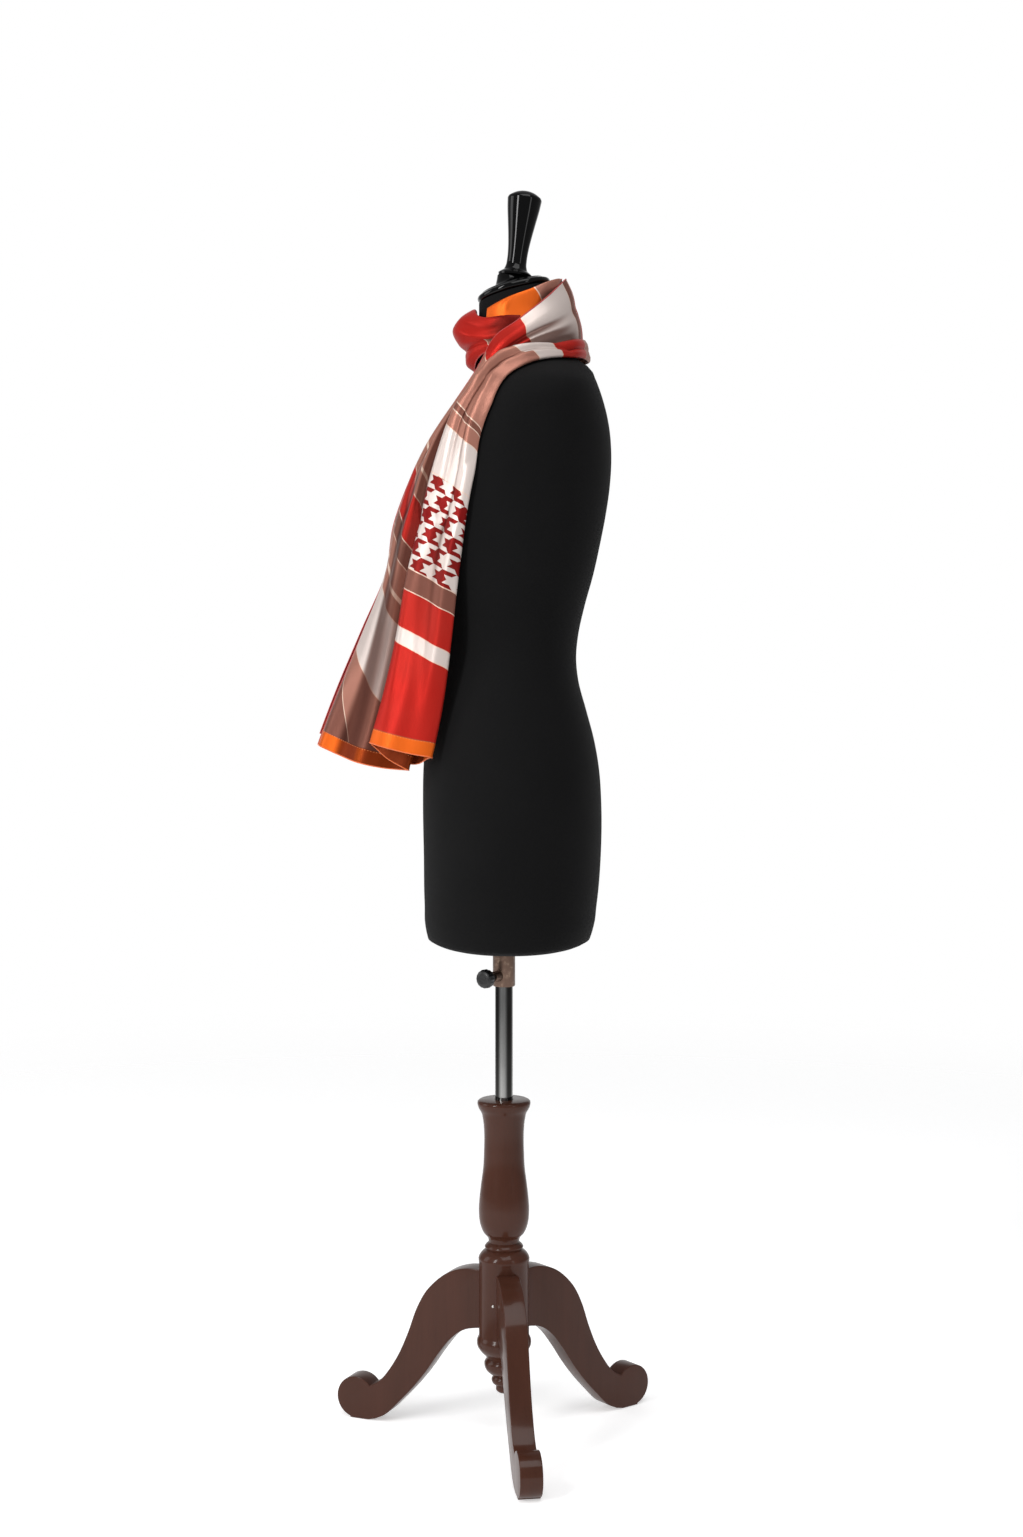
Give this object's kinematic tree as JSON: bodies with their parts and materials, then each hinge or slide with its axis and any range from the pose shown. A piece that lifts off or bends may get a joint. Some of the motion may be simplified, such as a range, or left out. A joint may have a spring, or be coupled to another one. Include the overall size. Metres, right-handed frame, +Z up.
{
  "type": "stole on a dress form",
  "caption": "Silk stole wound round the neck of a limbless dress form, its ends hanging down the front. The form turns and slides on the post of a turned wooden tripod stand.",
  "frame": {"origin": "on the floor, in the middle of the footprint of the whole part", "axes": "+Z up, -Y the way the form faces, +X the form's own left side"},
  "size_m": [0.3874, 0.409, 1.4953],
  "materials": {
    "silk": "satin",
    "jersey": "matte",
    "gloss_black": "gloss",
    "bronze": "satin",
    "knob_plastic": "satin",
    "chrome": "polished",
    "walnut_lacquer": "gloss"
  },
  "bodies": {
    "stand": {"column": "walnut_lacquer", "leg_near": "walnut_lacquer", "leg_back": "walnut_lacquer", "leg_front": "walnut_lacquer"},
    "post": {"post": "chrome"},
    "form": {"torso": "jersey", "neck_cap": "gloss_black", "finial": "gloss_black", "collar": "bronze", "stole_left_end": "silk", "stole_right_end": "silk", "stole_throat_band": "silk", "stole_inner_band": "silk"},
    "clamp_knob": {"knob": "knob_plastic"}
  },
  "joints": [
    {"name": "form_turn", "type": "hinge", "parent": "stand", "child": "post", "pos_m": [-0.02373, 0.023, 0.4], "axis": [0, 0, 1], "continuous": true},
    {"name": "form_height", "type": "slide", "parent": "post", "child": "form", "axis": [0, 0, 1], "range_m": [-0.12, 0.15]},
    {"name": "clamp_turn", "type": "hinge", "parent": "form", "child": "clamp_knob", "pos_m": [-0.00335, 0.00977, 0.553], "axis": [0.8387, -0.5446, 0], "range_deg": [0, 720]}
  ]
}
